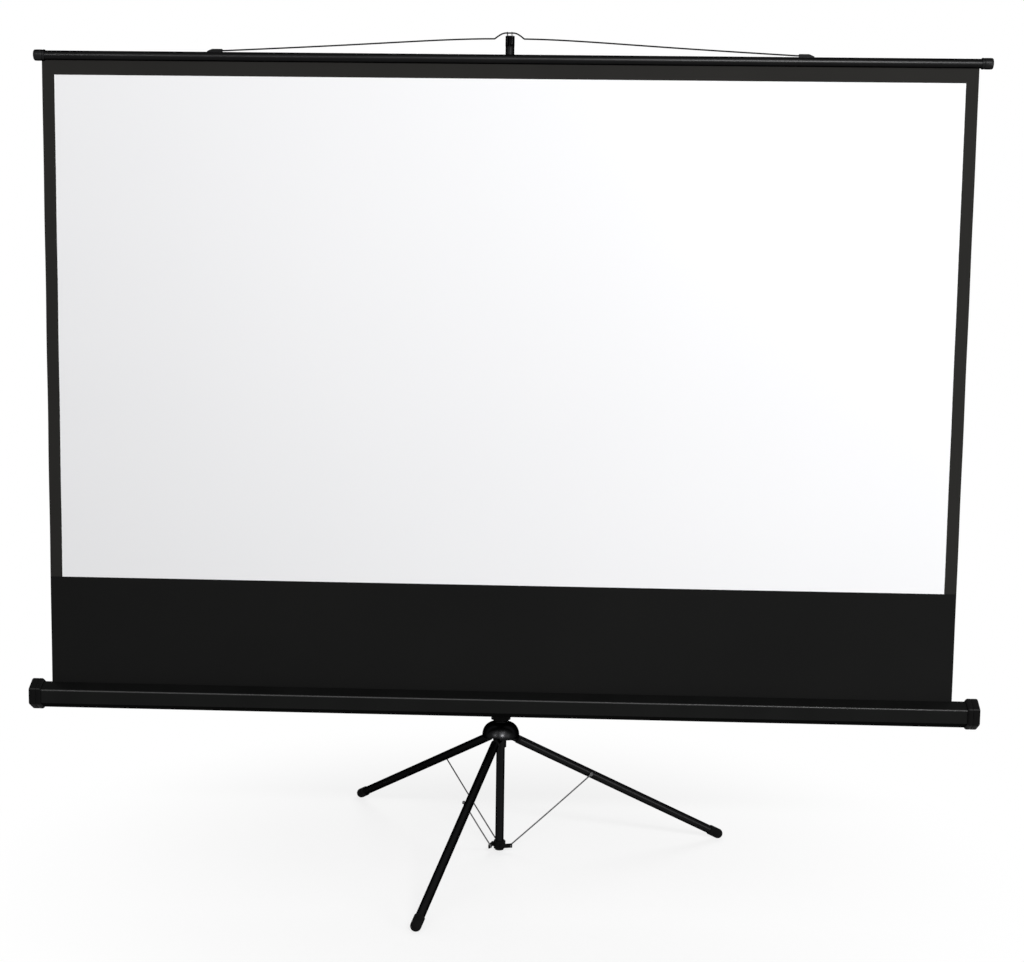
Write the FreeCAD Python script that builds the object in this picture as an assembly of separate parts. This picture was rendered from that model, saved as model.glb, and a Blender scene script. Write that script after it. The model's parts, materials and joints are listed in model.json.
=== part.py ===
import FreeCAD, Part
import math
import os

# Tripod projection screen. Millimetres, +Z up, audience on the -Y side.
# Shapes are built about the column's axis and moved back at the end, so the origin is the footprint's centre.
V = FreeCAD.Vector
os.makedirs("parts", exist_ok=True)

# Sheet and viewing area
view_w = 2214.0
view_h = 1245.0
border_side = 30.4
border_top = 35.0
drop_h = 270.3
sheet_t = 0.45
coat_t = 0.12
sheet_shift = -6.5
sheet_back = 60.0
hem_r = 4.5

# Legs, hub and centre rod
leg_len = 637.0
leg_tilt = 27.1
leg_turn = 14.0
leg_count = 3
leg_r = 11.0
leg_wall = 1.2
leg_pivot_r = 26.0
tongue_r = 9.0
tongue_w = 8.0
shoulder_s = 20.0
shoulder_w = 6.0
plug_len = 24.0
foot_r = 13.0
foot_flat_r = 5.0
foot_cup = 27.0
foot_lap = 20.0
hinge_pin_r = 3.0
ear_w = 4.0
ear_out = 11.0
ear_down = 10.5
hub_bush_r = 14.5
hub_bush_drop = 28.0
hub_disc_r = 38.0
hub_disc_up = 10.5
hub_disc_h = 5.5
hub_neck_r = 18.0
hub_neck_up = 40.4
column_seat_up = 18.0
dome_r = 47.5
dome_wall = 2.6
dome_low = 0.4
dome_top = 39.0
dome_r_shares = (0.985, 0.998, 1.0, 0.972, 0.87, 0.69, 0.47)
dome_z_shares = (0.0, 0.08, 0.16, 0.361, 0.632, 0.841, 0.964)
dome_slot_w = 24.6
dome_slot_up = 5.4
rod_r = 11.0
rod_wall = 1.5
rod_z0 = 4.0
rod_len = 636.0
rod_plug_h = 2.0
rod_plug_up = 12.0
collar_r = 14.6
collar_half_h = 10.0
brace_z = 16.0
brace_side = 14.0
brace_share = 0.374
brace_r = 1.5
brace_eye_r = 4.5
brace_pin_r = 2.0
arm_in = 1.5
arm_out = 4.0
arm_bridge = 8.0
arm_gap = 0.7
arm_w = 4.0
rivet_head_r = 4.0
rivet_head_h = 1.5

# Column, middle tube and mast
column_r = 15.0
column_wall = 1.5
column_len = 700.0
mid_r = 13.0
mid_wall = 1.3
mid_len = 740.0
mid_gap = 20.0
mast_r = 11.0
mast_wall = 1.2
mast_lap = 130.0
guide_h = 6.0
guide_plug = 20.0
guide_wall = 2.5
ring_wall = 5.0
ring_lap = 24.0
ring_up = 24.0
boss_r = 8.0
boss_out = 12.0
knob_r = 11.0
knob_lobe_r = 4.0
knob_lobes = 6
knob_w = 13.0
knob_neck_r = 7.0
knob_neck_w = 4.0
stud_r = 3.0

# Case, bracket and roller
case_up = 98.8
case_side = 34.0
case_wall = 1.6
case_over = 58.6
cap_len = 31.0
cap_proud = 6.2
cap_lift = 1.0
cap_lap = 20.0
cap_wall = 6.0
cap_round = 5.0
slot_w = 6.0
lip_h = 1.3
slider_r = 24.5
slider_front = 21.0
slider_rear = 24.0
slider_gap = 1.9
slider_cone_h = 7.0
slider_h = 92.0
slider_round = 8.0
pivot_boss_r = 20.0
pivot_boss_h = 4.13
pivot_r = 5.0
pivot_sink = 3.4
pivot_out = 15.0
nut_r = 8.0
nut_h = 4.8
nut_flange_r = 9.0
nut_flange_h = 1.4
plate_w = 150.0
plate_h = 32.0
plate_t = 3.0
roller_r = 16.0
roller_wall = 1.5
roller_fore = 4.0
roller_end_gap = 8.0
roller_plug = 20.0
roll_t = 1.5
axle_r = 5.0
shaft_len = 330.0
idle_len = 36.0
spring_r = 6.6
spring_wire_r = 1.4
spring_pitch = 17.0
spring_turns = 10
spring_in = 70.0

# Rail, bail and hook
rail_r = 11.5
rail_bore_r = 6.5
rail_slot_w = 3.2
rail_over = 25.0
rail_cap_r = 13.7
rail_cap_len = 27.0
rail_cap_wall = 5.0
rail_cap_round = 2.0
cap_slot_w = 5.0
clip_x = 717.0
clip_len = 36.0
clip_w = 14.0
clip_up = 18.3
clip_low = 12.6
clip_slope = 13.0
clip_round = 3.0
bail_up = 14.7
bail_r = 1.5
bail_straight = 5.0
hump_up = 53.0
hump_back = 36.0
hump_in = 8.5
hump_out = 36.0
hump_steps = 8
shoulder_share = 0.707
hook_plate_x = 4.7
hook_plate_t = 2.0
hook_lip = 9.0
hook_top = 1.5
hook_rear = 8.0
hook_head_r = 11.3
hook_head_h = 24.4
hook_plug = 30.0
hook_drop = 28.5

# Clearances
run_gap = 0.05
side_gap = 0.25
clear_gap = 0.4

# Derived places
tilt = math.radians(leg_tilt)
foot_z = math.sqrt(foot_r ** 2 - foot_flat_r ** 2)
hub_z = leg_len * math.sin(tilt) + foot_z
foot_reach = leg_pivot_r + leg_len * math.cos(tilt)
case_z = hub_z + case_up
case_top = case_z + case_side
sheet_y = -sheet_back
view_z0 = case_top + drop_h
view_z1 = view_z0 + view_h
rail_z = view_z1 + border_top + rail_r
bail_z = rail_z + bail_up
hook_z = bail_z + hump_up
hook_y = sheet_y + hump_back
mast_top = hook_z - hook_drop
rod_top = rod_z0 + rod_len
column_z0 = hub_z + column_seat_up
column_z1 = column_z0 + column_len
mid_z0 = rod_top + mid_gap
mid_z1 = mid_z0 + mid_len
mast_z0 = mid_z1 - mast_lap
apothem = case_side * math.cos(math.pi / 6)
roller_y = sheet_y - roller_fore
roll_r = roller_r + roll_t
sheet_w = view_w + 2 * border_side
case_len = sheet_w + 2 * case_over
rail_len = sheet_w + 2 * rail_over
azimuths = [leg_turn + 360.0 * i / leg_count for i in range(leg_count)]
foot_ys = [foot_reach * math.sin(math.radians(a)) for a in azimuths]
column_y = -(max(foot_ys) + min(foot_ys)) / 2
X = V(1, 0, 0)
Y = V(0, 1, 0)
Z = V(0, 0, 1)
O = V(0, 0, 0)


def cyl(p, d, r, h):
    """Cylinder of radius r and height h from p along d."""
    return Part.makeCylinder(r, h, p, d)


def tube(p, d, r_out, r_in, h):
    """Hollow cylinder."""
    return cyl(p, d, r_out, h).cut(cyl(p, d, r_in, h))


def box(x0, x1, y0, y1, z0, z1):
    """Box between the stated planes."""
    return Part.makeBox(x1 - x0, y1 - y0, z1 - z0, V(x0, y0, z0))


def hexa(r, x0, x1, y, z):
    """Six-sided prism along X with a corner at the top, r from centre to corner."""
    angles = [math.pi * k / 3 for k in range(7)]
    pts = [V(x0, y + r * math.sin(a), z + r * math.cos(a)) for a in angles]
    return Part.Face(Part.makePolygon(pts)).extrude(V(x1 - x0, 0, 0))


def bar(a, b, r):
    """Round bar from a to b."""
    return cyl(a, b - a, r, (b - a).Length)


def chain(pts, r):
    """Round wire through the points, with a ball at each bend."""
    parts = [bar(a, b, r) for a, b in zip(pts, pts[1:])]
    parts += [Part.makeSphere(r, p) for p in pts[1:-1]]
    return parts[0].multiFuse(parts[1:]).removeSplitter()


def edges_along(shape, axis):
    """Straight edges parallel to axis."""
    found = []
    for e in shape.Edges:
        if isinstance(e.Curve, Part.Line) or isinstance(e.Curve, Part.LineSegment):
            d = e.Vertexes[-1].Point - e.Vertexes[0].Point
            if abs(d.normalize().dot(axis)) > 1 - 1e-6:
                found.append(e)
    return found


def edges_at_x(shape, x):
    """Edges that lie in the plane at x."""
    return [e for e in shape.Edges if abs(e.BoundBox.XMin - x) + abs(e.BoundBox.XMax - x) < run_gap]


def tilted(shape):
    """Moves a shape from the leg's own frame, hinge at zero and leg along +X, to the hub's +X side."""
    s = shape.copy()
    s.rotate(O, Y, leg_tilt)
    s.translate(V(leg_pivot_r, 0, hub_z))
    return s


def turned(shape, i):
    """Turns a shape built on the +X side about the column to leg i."""
    s = shape.copy()
    s.rotate(O, Z, azimuths[i])
    return s


def mirrored(shape):
    """Mirror image across the column's X plane."""
    return shape.mirror(O, X)


def keep(name, shape):
    """Moves a finished node to the shared frame and writes it."""
    s = shape.copy()
    s.translate(V(0, column_y, 0))
    s.exportStep("parts/" + name + ".step")


# Centre rod, which stands between the legs
keep("centre_rod", tube(V(0, 0, rod_z0), Z, rod_r, rod_r - rod_wall, rod_len))
rod_in = rod_r - rod_wall - run_gap
column_in = column_r - column_wall
guide = cyl(V(0, 0, rod_top), Z, column_in - run_gap, guide_h)
guide = guide.fuse(cyl(V(0, 0, rod_top - guide_plug), Z, rod_in, guide_plug))
keep("rod_guide", guide.cut(cyl(V(0, 0, rod_top - guide_plug), Z, rod_in - guide_wall, guide_plug + guide_h)))
plug = cyl(V(0, 0, rod_z0 - rod_plug_h), Z, rod_r, rod_plug_h)
keep("rod_plug", plug.fuse(cyl(V(0, 0, rod_z0), Z, rod_in, rod_plug_up)))

# Brace collar: a ring on the rod with one side arm for each leg
collar_z = brace_z - collar_half_h
arm_y0 = -brace_side - brace_r - arm_gap - arm_w
arm_y1 = arm_y0 + arm_w
collar = cyl(V(0, 0, collar_z), Z, collar_r, 2 * collar_half_h)
arm_z0 = brace_z - brace_eye_r - arm_gap
arm_z1 = brace_z + brace_eye_r + arm_gap
arm = box(-arm_in, leg_pivot_r + arm_out, arm_y0, arm_y1, arm_z0, arm_z1)
arm = arm.fuse(box(-arm_in, arm_bridge, arm_y0, 0, arm_z0, arm_z1))
pin_p = V(leg_pivot_r, arm_y0 - arm_gap, brace_z)
pin_len = -brace_side + brace_r + side_gap - arm_y0 + arm_gap
arm = arm.cut(cyl(pin_p, Y, brace_pin_r, pin_len))
collar = collar.multiFuse([turned(arm, i) for i in range(leg_count)])
keep("brace_collar", collar.cut(cyl(V(0, 0, collar_z), Z, rod_r, 2 * collar_half_h)).removeSplitter())
for i in range(leg_count):
    keep("collar_pin_%d" % (i + 1), turned(cyl(pin_p, Y, brace_pin_r, pin_len), i))

# Braces: wire with an eye at each end, beside the leg
reach = brace_share * leg_len
low = V(leg_pivot_r, -brace_side, brace_z)
high = V(leg_pivot_r + reach * math.cos(tilt), -brace_side, hub_z - reach * math.sin(tilt))
brace = bar(low, high, brace_r)
for p in (low, high):
    brace = brace.fuse(cyl(p - Y * brace_r, Y, brace_eye_r, 2 * brace_r))
for p in (low, high):
    brace = brace.cut(cyl(p - Y * 2 * brace_r, Y, brace_pin_r + run_gap, 4 * brace_r))
head_y = -brace_r - run_gap - rivet_head_h
rivet = cyl(high + Y * head_y, Y, rivet_head_r, rivet_head_h)
rivet = rivet.fuse(cyl(high + Y * head_y, Y, brace_pin_r, brace_side - leg_r - clear_gap - head_y))
for i in range(leg_count):
    keep("brace_%d" % (i + 1), turned(brace, i))
    keep("brace_rivet_%d" % (i + 1), turned(rivet, i))

# Legs
leg_in = leg_r - leg_wall - run_gap
tube_s = shoulder_s + shoulder_w
end_s = leg_len - foot_cup + foot_lap
leg_tube = tube(V(tube_s, 0, 0), X, leg_r, leg_r - leg_wall, end_s - tube_s)
tongue = cyl(V(0, -tongue_w / 2, 0), Y, tongue_r, tongue_w)
tongue = tongue.fuse(box(0, tube_s, -tongue_w / 2, tongue_w / 2, -tongue_r, tongue_r))
tongue = tongue.fuse(cyl(V(shoulder_s, 0, 0), X, leg_r, shoulder_w))
tongue = tongue.fuse(cyl(V(tube_s, 0, 0), X, leg_in, plug_len))
tongue = tongue.cut(cyl(V(0, -leg_r, 0), Y, hinge_pin_r + run_gap, 2 * leg_r)).removeSplitter()
cup_s = leg_len - foot_cup
cup_r = leg_r + run_gap
arc_mid = V(leg_len + foot_r * math.cos(math.pi / 4), 0, foot_r * math.sin(math.pi / 4))
tip_arc = Part.Arc(V(leg_len, 0, foot_r), arc_mid, V(leg_len + foot_r, 0, 0)).toShape()
inside = [V(leg_len + foot_r, 0, 0), V(end_s, 0, 0), V(end_s, 0, cup_r), V(cup_s, 0, cup_r)]
inside += [V(cup_s, 0, foot_r), V(leg_len, 0, foot_r)]
foot = tilted(Part.Face(Part.Wire([tip_arc] + Part.makePolygon(inside).Edges)).revolve(O, X, 360))
foot = foot.cut(box(0, 2 * foot_reach, -foot_reach, foot_reach, -foot_reach, 0))
for i in range(leg_count):
    keep("leg_tube_%d" % (i + 1), turned(tilted(leg_tube), i))
    keep("leg_end_%d" % (i + 1), turned(tilted(tongue), i))
    keep("leg_foot_%d" % (i + 1), turned(foot, i))

# Hub: bush for the rod, ears for the legs, socket for the column
bush_z = hub_z - hub_bush_drop
disc_z = hub_z + hub_disc_up
hub = cyl(V(0, 0, bush_z), Z, hub_bush_r, column_z0 - bush_z)
hub = hub.fuse(cyl(V(0, 0, disc_z), Z, hub_disc_r, hub_disc_h))
hub = hub.fuse(cyl(V(0, 0, disc_z), Z, hub_neck_r, hub_z + hub_neck_up - disc_z))
ears = []
ear_y = tongue_w / 2 + side_gap
pin_y = ear_y + ear_w
for side in (1, -1):
    y0 = min(side * ear_y, side * pin_y)
    ear = box(hub_bush_r / 2, leg_pivot_r + ear_out, y0, y0 + ear_w, hub_z - ear_down, disc_z + hub_disc_h)
    ears.append(ear.cut(cyl(V(leg_pivot_r, y0, hub_z), Y, hinge_pin_r, ear_w)))
hub = hub.multiFuse([turned(e, i) for e in ears for i in range(leg_count)])
hub = hub.cut(cyl(V(0, 0, bush_z), Z, rod_r + run_gap, column_z0 - bush_z))
keep("hub_spider", hub.cut(cyl(V(0, 0, column_z0), Z, column_r, hub_neck_up)).removeSplitter())
for i in range(leg_count):
    keep("leg_pin_%d" % (i + 1), turned(cyl(V(leg_pivot_r, -pin_y, hub_z), Y, hinge_pin_r, 2 * pin_y), i))

# Bell-shaped cover over the hub, slotted for the legs
dome_h = dome_top - dome_low
outer = []
inner = []
for rs, zs in zip(dome_r_shares, dome_z_shares):
    z = hub_z + dome_low + zs * dome_h
    outer.append(V(rs * dome_r, 0, z))
    inner.append(V(rs * dome_r - dome_wall, 0, z - zs * dome_wall))
lip_r = hub_neck_r + run_gap
outer.append(V(lip_r, 0, hub_z + dome_top))
inner.append(V(lip_r, 0, hub_z + dome_top - dome_wall))
curve_out = Part.BSplineCurve()
curve_out.interpolate(outer)
curve_in = Part.BSplineCurve()
curve_in.interpolate(inner)
rim_low = Part.makeLine(inner[0], outer[0])
rim_high = Part.makeLine(outer[-1], inner[-1])
wire = Part.Wire([rim_low, curve_out.toShape(), rim_high, curve_in.toShape()])
dome = Part.Face(wire).revolve(O, Z, 360)
slot = box(dome_r / 2, 2 * dome_r, -dome_slot_w / 2, dome_slot_w / 2, hub_z + dome_low - dome_wall, hub_z + dome_slot_up)
for i in range(leg_count):
    dome = dome.cut(turned(slot, i))
keep("hub_dome", dome)

# Column, middle tube and mast, each with a guide at its foot
keep("column_tube", tube(V(0, 0, column_z0), Z, column_r, column_in, column_len))
mid_in = mid_r - mid_wall
keep("mid_tube", tube(V(0, 0, mid_z0), Z, mid_r, mid_in, mid_len))
mast_in = mast_r - mast_wall
keep("mast_tube", tube(V(0, 0, mast_z0), Z, mast_r, mast_in, mast_top - mast_z0))


def foot_guide(z, r_out, r_plug):
    """Ring under a tube's lower end that runs in the tube outside it."""
    g = cyl(V(0, 0, z - guide_h), Z, r_out - run_gap, guide_h)
    g = g.fuse(cyl(V(0, 0, z), Z, r_plug - run_gap, guide_plug))
    return g.cut(cyl(V(0, 0, z - guide_h), Z, r_plug - guide_wall, guide_h + guide_plug))


def ring(z, r_tube, r_next):
    """Collar on a tube's top end, with a boss for the lock knob behind."""
    c = cyl(V(0, 0, z - ring_lap), Z, r_tube + ring_wall, ring_lap + ring_up)
    boss_z = z + ring_up / 2
    c = c.fuse(cyl(V(0, 0, boss_z), Y, boss_r, r_tube + boss_out))
    c = c.cut(cyl(V(0, 0, z - ring_lap), Z, r_tube, ring_lap))
    c = c.cut(cyl(V(0, 0, z), Z, r_next + run_gap, ring_up))
    return c.cut(cyl(V(0, 0, boss_z), Y, stud_r + run_gap, r_tube + 2 * boss_out)).removeSplitter()


def knob(z, y_tip, y_face):
    """Lobed lock knob on a stud along +Y, tip beside the tube that it locks."""
    y = y_face + side_gap
    k = cyl(V(0, y_tip, z), Y, stud_r, y + knob_neck_w - y_tip)
    k = k.fuse(cyl(V(0, y, z), Y, knob_neck_r, knob_neck_w))
    grip = cyl(V(0, y + knob_neck_w, z), Y, knob_r, knob_w)
    lobes = []
    for n in range(knob_lobes):
        a = 2 * math.pi * n / knob_lobes
        p = V(knob_r * math.cos(a), y + knob_neck_w, z + knob_r * math.sin(a))
        lobes.append(cyl(p, Y, knob_lobe_r, knob_w))
    return k.multiFuse([grip] + lobes).removeSplitter()


keep("mid_guide", foot_guide(mid_z0, column_in, mid_in))
keep("mast_guide", foot_guide(mast_z0, mid_in, mast_in))
keep("column_collar", ring(column_z1, column_r, mid_r))
keep("mid_collar", ring(mid_z1, mid_r, mast_r))
keep("mid_lock_knob", knob(column_z1 + ring_up / 2, mid_r + clear_gap, column_r + boss_out))
keep("mast_lock_knob", knob(mid_z1 + ring_up / 2, mast_r + clear_gap, mid_r + boss_out))

# Bracket that slides on the column and carries the case's pivot
slider_z0 = hub_z + hub_neck_up + slider_gap
slider_z1 = slider_z0 + slider_cone_h + slider_h
block = box(-slider_r, slider_r, -slider_front, slider_rear, slider_z0, slider_z1)
block = block.makeFillet(slider_round, edges_along(block, Z))
low_cone = Part.makeCone(hub_neck_r, slider_r + slider_round, slider_cone_h, V(0, 0, slider_z0))
cone_zone = low_cone.fuse(cyl(V(0, 0, slider_z0 + slider_cone_h), Z, slider_r + slider_round, slider_h))
block = block.common(cone_zone)
block = block.fuse(cyl(V(0, 0, case_z), -Y, pivot_boss_r, slider_front + pivot_boss_h))
block = block.fuse(cyl(V(0, 0, case_z), Y, boss_r, slider_rear + guide_h))
block = block.cut(cyl(V(0, 0, slider_z0), Z, column_r + run_gap, slider_z1 - slider_z0))
block = block.cut(cyl(V(0, 0, case_z), Y, stud_r + run_gap, slider_rear + 2 * guide_h))
boss_y = -slider_front - pivot_boss_h
stud_y = -column_r - pivot_sink
stud_end = boss_y - pivot_out
keep("slider_sleeve", block.cut(cyl(V(0, stud_y, case_z), -Y, pivot_r, pivot_sink + slider_front)).removeSplitter())
keep("slider_lock_knob", knob(case_z, column_r + clear_gap, slider_rear + guide_h))
keep("pivot_stud", cyl(V(0, stud_y, case_z), -Y, pivot_r, stud_y - stud_end))

# Case: six-sided tube with a slot along its top, two end caps and a mount plate
case_half = case_len / 2
shell_half = case_half - cap_len + cap_lap
case_back = sheet_y + apothem
shell = hexa(case_side, -shell_half, shell_half, sheet_y, case_z)
inner_side = case_side - case_wall / math.cos(math.pi / 6)
shell = shell.cut(hexa(inner_side, -shell_half, shell_half, sheet_y, case_z))
shell = shell.cut(box(-shell_half, shell_half, sheet_y - slot_w / 2, sheet_y + slot_w / 2, case_z, case_top))
pivot_hole = cyl(V(0, sheet_y, case_z), Y, pivot_r + run_gap, sheet_back)
keep("case_shell", shell.cut(pivot_hole))
plate = box(-plate_w / 2, plate_w / 2, case_back, case_back + plate_t, case_z - plate_h / 2, case_z + plate_h / 2)
keep("case_mount_plate", plate.cut(pivot_hole))
nut_y = case_back - case_wall - side_gap
nut = cyl(V(0, nut_y, case_z), -Y, nut_flange_r, nut_flange_h)
hex_nut = hexa(nut_r, 0, nut_h, 0, 0)
hex_nut.rotate(O, Z, -90)
hex_nut.translate(V(0, nut_y - nut_flange_h, case_z))
nut = nut.fuse(hex_nut).cut(cyl(V(0, nut_y, case_z), -Y, pivot_r, nut_flange_h + nut_h))
keep("pivot_nut", nut)
cap_side = case_side + cap_proud
cap_x0 = case_half - cap_len
cap = hexa(cap_side, cap_x0, case_half, sheet_y, case_z + cap_lift)
cap = cap.makeFillet(cap_round, edges_at_x(cap, case_half))
cap = cap.cut(hexa(case_side + run_gap, cap_x0, shell_half, sheet_y, case_z))
cap = cap.cut(hexa(inner_side, shell_half, case_half - cap_wall, sheet_y, case_z))
idle = cyl(V(case_half - cap_wall, roller_y, case_z), -X, axle_r, idle_len)
keep("end_cap_right", cap.fuse(idle))
keep("end_cap_left", mirrored(cap))

# Spring roller inside the case
roller_half = case_half - cap_wall - roller_end_gap
roller_p = V(-roller_half, roller_y, case_z)
keep("roller_tube", tube(roller_p, X, roller_r, roller_r - roller_wall, 2 * roller_half))
roller_end = tube(roller_p, X, roller_r - roller_wall - run_gap, axle_r + run_gap, roller_plug)
keep("roller_plug_left", roller_end)
keep("roller_plug_right", mirrored(roller_end))
roll_x = sheet_shift - sheet_w / 2
keep("fabric_roll", tube(V(roll_x, roller_y, case_z), X, roll_r, roller_r + run_gap, sheet_w))
keep("roller_shaft", cyl(V(-case_half + cap_wall, roller_y, case_z), X, axle_r, shaft_len))
helix = Part.makeHelix(spring_pitch, spring_pitch * spring_turns, spring_r)
ring_wire = Part.Wire(Part.makeCircle(spring_wire_r, V(spring_r, 0, 0), Y))
spring = Part.Wire(helix).makePipeShell([ring_wire], True, True)
spring.rotate(O, Y, 90)
spring.translate(V(-case_half + spring_in, roller_y, case_z))
keep("roller_spring", spring)

# Sheet: hem in the rail, flat run to the slot, then down to the roll
slot_z = case_top - lip_h
out_y = sheet_y - roller_y
out_z = slot_z - case_z
out_d = math.hypot(out_y, out_z)
gap_r = roll_r + clear_gap
u = V(0, out_y / out_d, out_z / out_d)
w = V(0, u.z, -u.y)
cos_b = gap_r / out_d
sin_b = math.sqrt(1 - cos_b ** 2)
n_in = u * cos_b + w * sin_b
touch = V(0, roller_y, case_z) + n_in * gap_r
over = V(0, sheet_t, 0)
bend = V(0, sheet_y, slot_z)
top = V(0, sheet_y, rail_z)
pts = [top, bend, touch, touch + n_in * sheet_t, bend + over, top + over, top]
sheet = Part.Face(Part.makePolygon([p + X * roll_x for p in pts])).extrude(X * sheet_w)
hem = cyl(V(roll_x, sheet_y + sheet_t / 2, rail_z), X, hem_r, sheet_w)
keep("screen_sheet", sheet.fuse(hem).removeSplitter())
view_x0 = sheet_shift - view_w / 2
keep("viewing_surface", box(view_x0, view_x0 + view_w, sheet_y - coat_t, sheet_y, view_z0, view_z1))

# Rail with its end caps and bail clips
rail_half = rail_len / 2
bore_half = rail_half - rail_cap_wall
rail = tube(V(-bore_half, sheet_y, rail_z), X, rail_r, rail_bore_r, 2 * bore_half)
slot_y0 = sheet_y - rail_slot_w / 2
slot_y1 = sheet_y + rail_slot_w / 2
keep("top_rail", rail.cut(box(-bore_half, bore_half, slot_y0, slot_y1, rail_z - rail_r, rail_z)))
rail_cap = cyl(V(rail_half, sheet_y, rail_z), -X, rail_cap_r, rail_cap_len)
rail_cap = rail_cap.makeFillet(rail_cap_round, edges_at_x(rail_cap, rail_half))
cap_bore = cyl(V(bore_half, sheet_y, rail_z), -X, rail_r + run_gap, rail_cap_len)
rail_cap = rail_cap.cut(cap_bore)
gap_y0 = sheet_y - cap_slot_w / 2
gap_y1 = sheet_y + cap_slot_w / 2
rail_cap = rail_cap.cut(box(rail_half - rail_cap_len, bore_half, gap_y0, gap_y1, rail_z - rail_cap_r, rail_z))
keep("rail_cap_right", rail_cap)
keep("rail_cap_left", mirrored(rail_cap))
clip_x0 = clip_x - clip_len / 2
clip_x1 = clip_x + clip_len / 2
clip = box(clip_x0, clip_x1, sheet_y - clip_w / 2, sheet_y + clip_w / 2, rail_z, rail_z + clip_up)
clip = clip.makeFillet(clip_round, [e for e in edges_along(clip, X) if e.BoundBox.ZMin > rail_z])
clip = clip.cut(cyl(V(clip_x0, sheet_y, rail_z), X, rail_r, clip_len))
bore_len = clip_len - clip_slope
clip = clip.cut(cyl(V(clip_x0, sheet_y, bail_z), X, bail_r + run_gap, bore_len))
slope_x = clip_x0 + bore_len
slope = [V(slope_x, 0, clip_up), V(clip_x1, 0, clip_up), V(clip_x1, 0, clip_low), V(slope_x, 0, clip_up)]
wedge = Part.Face(Part.makePolygon([q + V(0, sheet_y - clip_w, rail_z) for q in slope])).extrude(Y * 2 * clip_w)
clip = clip.cut(wedge)
keep("bail_clip_right", clip)
keep("bail_clip_left", mirrored(clip))

# Bail: wire that leans back from the rail to the mast's hook
hump = math.hypot(hump_up, hump_back)
lean = math.atan2(hump_back, hump_up)
right = [(hump_in, hump)]
for n in range(1, hump_steps + 1):
    f = n / hump_steps
    ease = 1 - math.cos(math.pi / 2 * f)
    right.append((hump_in + (hump_out - hump_in) * f, hump * (1 - (1 - shoulder_share) * ease)))
right.append((clip_x0 - bail_straight, 0))
right.append((slope_x - clear_gap, 0))
plan = [(-x, h) for x, h in reversed(right)] + right
bail_pts = [V(x, sheet_y + h * math.sin(lean), bail_z + h * math.cos(lean)) for x, h in plan]
keep("bail_wire", chain(bail_pts, bail_r))

# Hook on the mast: a plug and two plates with an open seat for the bail
seat_r = hump - bail_r - side_gap
back_y = hook_y + bail_r + side_gap
plate_z1 = hook_z + hook_top
plates = box(hook_plate_x, hook_plate_x + hook_plate_t, hook_y - hook_lip, hook_rear, mast_top, plate_z1)
free = box(0, hook_plate_x + 2 * hook_plate_t, sheet_y, back_y, bail_z, plate_z1 + hook_top)
free = free.cut(cyl(V(0, sheet_y, bail_z), X, seat_r, hook_plate_x + 2 * hook_plate_t))
plates = plates.cut(free)
hook = cyl(V(0, 0, mast_top), Z, hook_head_r, hook_head_h)
hook = hook.fuse(cyl(V(0, 0, mast_top - hook_plug), Z, mast_in - run_gap, hook_plug))
keep("mast_hook", hook.multiFuse([plates, mirrored(plates)]).removeSplitter())
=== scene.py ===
import bmesh
import bpy
import json
import math
import numpy as np
from mathutils import Matrix, Vector


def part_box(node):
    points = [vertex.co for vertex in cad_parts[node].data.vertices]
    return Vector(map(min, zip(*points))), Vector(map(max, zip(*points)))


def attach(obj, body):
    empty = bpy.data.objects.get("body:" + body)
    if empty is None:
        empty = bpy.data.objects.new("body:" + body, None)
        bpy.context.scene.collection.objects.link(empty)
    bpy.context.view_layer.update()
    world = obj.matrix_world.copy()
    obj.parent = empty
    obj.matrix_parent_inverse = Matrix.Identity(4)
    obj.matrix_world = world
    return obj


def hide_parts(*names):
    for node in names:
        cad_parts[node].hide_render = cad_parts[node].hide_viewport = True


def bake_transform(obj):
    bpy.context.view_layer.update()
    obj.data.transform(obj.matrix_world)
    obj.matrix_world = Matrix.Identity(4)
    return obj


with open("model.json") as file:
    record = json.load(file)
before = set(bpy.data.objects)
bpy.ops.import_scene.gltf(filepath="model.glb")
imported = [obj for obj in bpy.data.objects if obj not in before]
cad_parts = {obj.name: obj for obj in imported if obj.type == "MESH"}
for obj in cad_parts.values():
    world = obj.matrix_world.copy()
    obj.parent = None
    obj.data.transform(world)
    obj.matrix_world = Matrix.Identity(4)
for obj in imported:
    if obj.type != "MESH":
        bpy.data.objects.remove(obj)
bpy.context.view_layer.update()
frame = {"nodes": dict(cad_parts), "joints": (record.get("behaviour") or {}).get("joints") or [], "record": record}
scene = bpy.context.scene
joints = {joint["name"]: joint for joint in frame["joints"]}
MM = 0.001
COS30 = math.cos(math.pi / 6)

# Lengths are in millimetres where nothing else is said, angles in radians, and a share is a part of one

# Sheet: ripples are lengths, waves are counted over its width and height
sheet_half = 0.28
sheet_in_slot = 9.0
hem_share = 0.3
side_ripple = 1.1
side_waves_across = 0.6
side_waves_up = 5.0
side_reach_share = 0.05
slow_ripple = 0.6
slow_waves_across = 2.3
slow_waves_up = 0.35
ripple_calm = 0.8

# Case and its end caps
case_edge_round = 3.0
case_wall = 1.6
case_lip_gap = 3.0
case_edge_band = 1.2
band_most_share = 0.33
# Painted highlight along the upper ridges of the case and its caps: its full strength and its reach as a share of
# the edge rounding
highlight_full = 1.6
highlight_reach_share = 0.577
cap_length = 31.0
cap_edge_round = 5.0
cap_round_most_share = 0.7

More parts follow.
